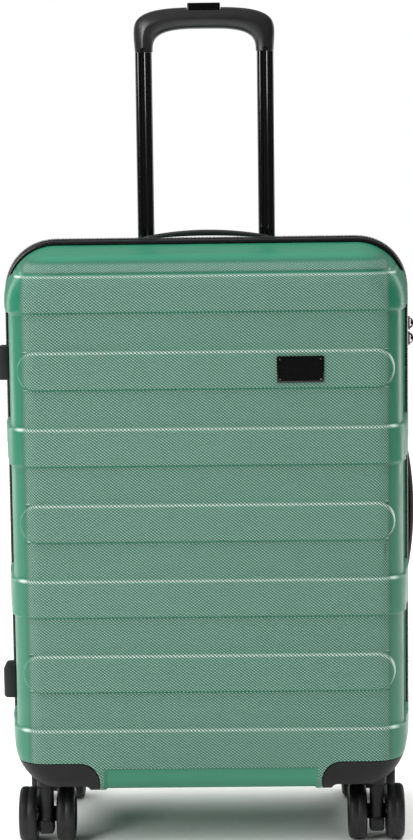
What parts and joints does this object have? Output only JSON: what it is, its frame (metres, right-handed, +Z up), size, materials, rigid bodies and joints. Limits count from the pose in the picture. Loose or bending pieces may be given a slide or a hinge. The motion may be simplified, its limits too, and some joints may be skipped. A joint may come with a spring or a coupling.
{
  "type": "hard shell suitcase on wheels",
  "caption": "Hard shell suitcase with ribbed clamshell halves, a drawn-out trolley handle, carry handles, a zip and swivelling double wheels; opens flat.",
  "frame": {"origin": "on the floor, under the middle of the case, in the plane of the zip", "axes": "+Z up, +X to the viewer's right, +Y to the back; the front shell with the plate faces -Y"},
  "size_m": [0.464, 0.2671, 0.932],
  "materials": {
    "shell": "satin green moulded plastic with a fine woven-look emboss",
    "black_plastic": "fine spark-eroded black",
    "badge_plate": "smooth satin black",
    "zip_metal": "satin black",
    "piping": "satin",
    "zip_tape": "woven",
    "webbing": "ribbed webbing",
    "lining": "plain weave",
    "black_tube": "gloss black",
    "plain_tube": "extruded",
    "steel": "drawn",
    "wheel": "satin tread"
  },
  "bodies": {
    "rear_half": {"rear_shell": "shell", "rear_piping": "piping", "rear_zip_tape": "zip_tape", "hinge_tape": "zip_tape", "rear_lining": "lining", "packing_straps": "webbing", "lock_housing": "black_plastic", "trolley_bezel": "black_plastic", "trolley_base": "black_plastic", "outer_tube_left": "plain_tube", "outer_tube_right": "plain_tube", "top_handle_base": "black_plastic", "side_handle_base": "black_plastic", "side_foot_rear_upper": "black_plastic", "side_foot_rear_lower": "black_plastic", "caster_housing_rear_left": "black_plastic", "caster_housing_rear_right": "black_plastic"},
    "front_half": {"front_shell": "shell", "front_piping": "piping", "front_zip_tape": "zip_tape", "front_lining": "lining", "divider_panel": "lining", "badge": "badge_plate", "side_foot_front_upper": "black_plastic", "side_foot_front_lower": "black_plastic", "caster_housing_front_left": "black_plastic", "caster_housing_front_right": "black_plastic"},
    "trolley_middle": {"middle_tube_left": "black_tube", "middle_tube_right": "black_tube"},
    "trolley_top": {"inner_tube_left": "black_tube", "inner_tube_right": "black_tube", "trolley_grip": "black_plastic"},
    "trolley_release": {"trolley_button": "black_plastic", "lock_yoke": "steel"},
    "top_handle": {"top_handle_grip": "black_plastic"},
    "side_handle": {"side_handle_grip": "black_plastic"},
    "dial_1": {"lock_dial_1": "black_plastic"},
    "dial_2": {"lock_dial_2": "black_plastic"},
    "dial_3": {"lock_dial_3": "black_plastic"},
    "lock_release": {"lock_button": "steel"},
    "slider_upper": {"zip_slider_upper": "zip_metal"},
    "slider_lower": {"zip_slider_lower": "zip_metal"},
    "pull_upper": {"zip_pull_upper": "zip_metal"},
    "pull_lower": {"zip_pull_lower": "zip_metal"},
    "caster_front_left": {"caster_fork_front_left": "black_plastic", "caster_axle_front_left": "steel"},
    "wheel_front_left_left": {"wheel_front_left_left": "wheel"},
    "wheel_front_left_right": {"wheel_front_left_right": "wheel"},
    "caster_front_right": {"caster_fork_front_right": "black_plastic", "caster_axle_front_right": "steel"},
    "wheel_front_right_left": {"wheel_front_right_left": "wheel"},
    "wheel_front_right_right": {"wheel_front_right_right": "wheel"},
    "caster_rear_left": {"caster_fork_rear_left": "black_plastic", "caster_axle_rear_left": "steel"},
    "wheel_rear_left_left": {"wheel_rear_left_left": "wheel"},
    "wheel_rear_left_right": {"wheel_rear_left_right": "wheel"},
    "caster_rear_right": {"caster_fork_rear_right": "black_plastic", "caster_axle_rear_right": "steel"},
    "wheel_rear_right_left": {"wheel_rear_right_left": "wheel"},
    "wheel_rear_right_right": {"wheel_rear_right_right": "wheel"}
  },
  "joints": [
    {"name": "front_half_hinge", "type": "hinge", "parent": "rear_half", "child": "front_half", "pos_m": [-0.2305, 0, 0.36], "axis": [0, 0, -1], "range_deg": [0, 179]},
    {"name": "trolley_middle_slide", "type": "slide", "parent": "rear_half", "child": "trolley_middle", "axis": [0, 0, 1], "range_m": [0, 0.14]},
    {"name": "trolley_top_slide", "type": "slide", "parent": "trolley_middle", "child": "trolley_top", "axis": [0, 0, 1], "range_m": [-0.262, 0]},
    {"name": "trolley_button_press", "type": "slide", "parent": "trolley_top", "child": "trolley_release", "axis": [0, 0, 1], "range_m": [-0.003, 0], "stiffness_N_per_m": 1500, "springref_m": 0.002},
    {"name": "top_handle_lift", "type": "slide", "parent": "rear_half", "child": "top_handle", "axis": [0, 0, 1], "range_m": [0, 0.012], "stiffness_N_per_m": 200, "springref_m": -0.002},
    {"name": "side_handle_lift", "type": "slide", "parent": "rear_half", "child": "side_handle", "axis": [1, 0, 0], "range_m": [0, 0.0095], "stiffness_N_per_m": 200, "springref_m": -0.002},
    {"name": "lock_release_slide", "type": "slide", "parent": "rear_half", "child": "lock_release", "axis": [0, 0, 1], "range_m": [-0.004, 0], "stiffness_N_per_m": 200, "springref_m": 0.001},
    {"name": "zip_slide_upper", "type": "slide", "parent": "rear_half", "child": "slider_upper", "axis": [0, 0, 1], "range_m": [0, 0.03]},
    {"name": "zip_slide_lower", "type": "slide", "parent": "rear_half", "child": "slider_lower", "axis": [0, 0, 1], "range_m": [-0.4, 0]},
    {"name": "zip_pull_turn_upper", "type": "hinge", "parent": "slider_upper", "child": "pull_upper", "pos_m": [0.2307, 0, 0.5715], "axis": [0, 0, -1], "range_deg": [0, 75]},
    {"name": "zip_pull_turn_lower", "type": "hinge", "parent": "slider_lower", "child": "pull_lower", "pos_m": [0.2307, 0, 0.5545], "axis": [0, 0, -1], "range_deg": [0, 75]},
    {"name": "dial_1_turn", "type": "hinge", "parent": "rear_half", "child": "dial_1", "pos_m": [0.2201, 0.037, 0.5635], "axis": [0, 0, 1], "continuous": true},
    {"name": "dial_2_turn", "type": "hinge", "parent": "rear_half", "child": "dial_2", "pos_m": [0.2201, 0.037, 0.57], "axis": [0, 0, 1], "continuous": true},
    {"name": "dial_3_turn", "type": "hinge", "parent": "rear_half", "child": "dial_3", "pos_m": [0.2201, 0.037, 0.5765], "axis": [0, 0, 1], "continuous": true},
    {"name": "caster_swivel_front_left", "type": "hinge", "parent": "front_half", "child": "caster_front_left", "pos_m": [-0.1836, -0.085, 0.03062], "axis": [0, 0, 1], "continuous": true},
    {"name": "wheel_roll_front_left_left", "type": "hinge", "parent": "caster_front_left", "child": "wheel_front_left_left", "pos_m": [-0.20445, -0.07, 0.03062], "axis": [1, 0, 0], "continuous": true},
    {"name": "wheel_roll_front_left_right", "type": "hinge", "parent": "caster_front_left", "child": "wheel_front_left_right", "pos_m": [-0.16275, -0.07, 0.03062], "axis": [1, 0, 0], "continuous": true},
    {"name": "caster_swivel_front_right", "type": "hinge", "parent": "front_half", "child": "caster_front_right", "pos_m": [0.1836, -0.085, 0.03062], "axis": [0, 0, 1], "continuous": true},
    {"name": "wheel_roll_front_right_left", "type": "hinge", "parent": "caster_front_right", "child": "wheel_front_right_left", "pos_m": [0.16275, -0.07, 0.03062], "axis": [1, 0, 0], "continuous": true},
    {"name": "wheel_roll_front_right_right", "type": "hinge", "parent": "caster_front_right", "child": "wheel_front_right_right", "pos_m": [0.20445, -0.07, 0.03062], "axis": [1, 0, 0], "continuous": true},
    {"name": "caster_swivel_rear_left", "type": "hinge", "parent": "rear_half", "child": "caster_rear_left", "pos_m": [-0.1836, 0.085, 0.03062], "axis": [0, 0, 1], "continuous": true},
    {"name": "wheel_roll_rear_left_left", "type": "hinge", "parent": "caster_rear_left", "child": "wheel_rear_left_left", "pos_m": [-0.20445, 0.1, 0.03062], "axis": [1, 0, 0], "continuous": true},
    {"name": "wheel_roll_rear_left_right", "type": "hinge", "parent": "caster_rear_left", "child": "wheel_rear_left_right", "pos_m": [-0.16275, 0.1, 0.03062], "axis": [1, 0, 0], "continuous": true},
    {"name": "caster_swivel_rear_right", "type": "hinge", "parent": "rear_half", "child": "caster_rear_right", "pos_m": [0.1836, 0.085, 0.03062], "axis": [0, 0, 1], "continuous": true},
    {"name": "wheel_roll_rear_right_left", "type": "hinge", "parent": "caster_rear_right", "child": "wheel_rear_right_left", "pos_m": [0.16275, 0.1, 0.03062], "axis": [1, 0, 0], "continuous": true},
    {"name": "wheel_roll_rear_right_right", "type": "hinge", "parent": "caster_rear_right", "child": "wheel_rear_right_right", "pos_m": [0.20445, 0.1, 0.03062], "axis": [1, 0, 0], "continuous": true}
  ]
}
